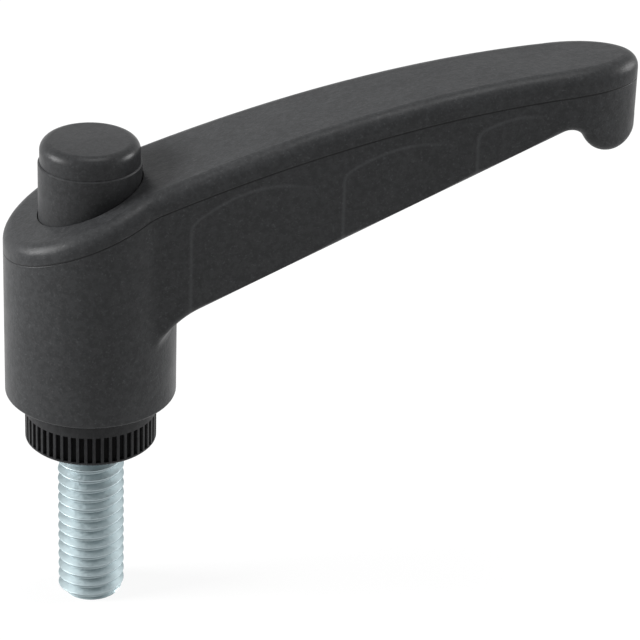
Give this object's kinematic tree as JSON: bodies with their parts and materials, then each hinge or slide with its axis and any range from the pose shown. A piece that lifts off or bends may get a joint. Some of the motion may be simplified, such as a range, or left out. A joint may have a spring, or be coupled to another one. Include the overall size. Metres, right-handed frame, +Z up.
{
  "type": "adjustable clamping lever",
  "caption": "Adjustable clamping lever with a cranked arm, a push button in its hub, a ribbed collar and a plated threaded stud.",
  "frame": {"origin": "centre of the collar's clamping face, where the stud leaves it", "axes": "+Z up the screw axis towards the button, +X along the lever arm"},
  "size_m": [0.0561, 0.0154, 0.0514],
  "materials": {
    "lever_black": "fine matt moulding grain",
    "button_black": "satin moulded plastic",
    "cap_black": "satin moulded plastic",
    "insert_black": "matt moulded plastic",
    "stud_zinc": "clear zinc plate",
    "screw_steel": "plain steel",
    "spring_steel": "bright spring wire"
  },
  "bodies": {
    "screw_unit": {"threaded_stud": "stud_zinc", "toothed_insert": "insert_black", "retaining_screw": "screw_steel", "button_sleeve": "button_black", "button_cap": "cap_black"},
    "spring": {"return_spring": "spring_steel"},
    "lever": {"lever_body": "lever_black"}
  },
  "joints": [
    {"name": "lever_index", "type": "hinge", "parent": "screw_unit", "child": "spring", "pos_m": [0, 0, 0], "axis": [0, 0, 1], "continuous": true},
    {"name": "lever_lift", "type": "slide", "parent": "spring", "child": "lever", "axis": [0, 0, 1], "range_m": [0, 0.0025], "stiffness_N_per_m": 1500, "springref_m": -0.003, "deforming": ["return_spring"]}
  ]
}
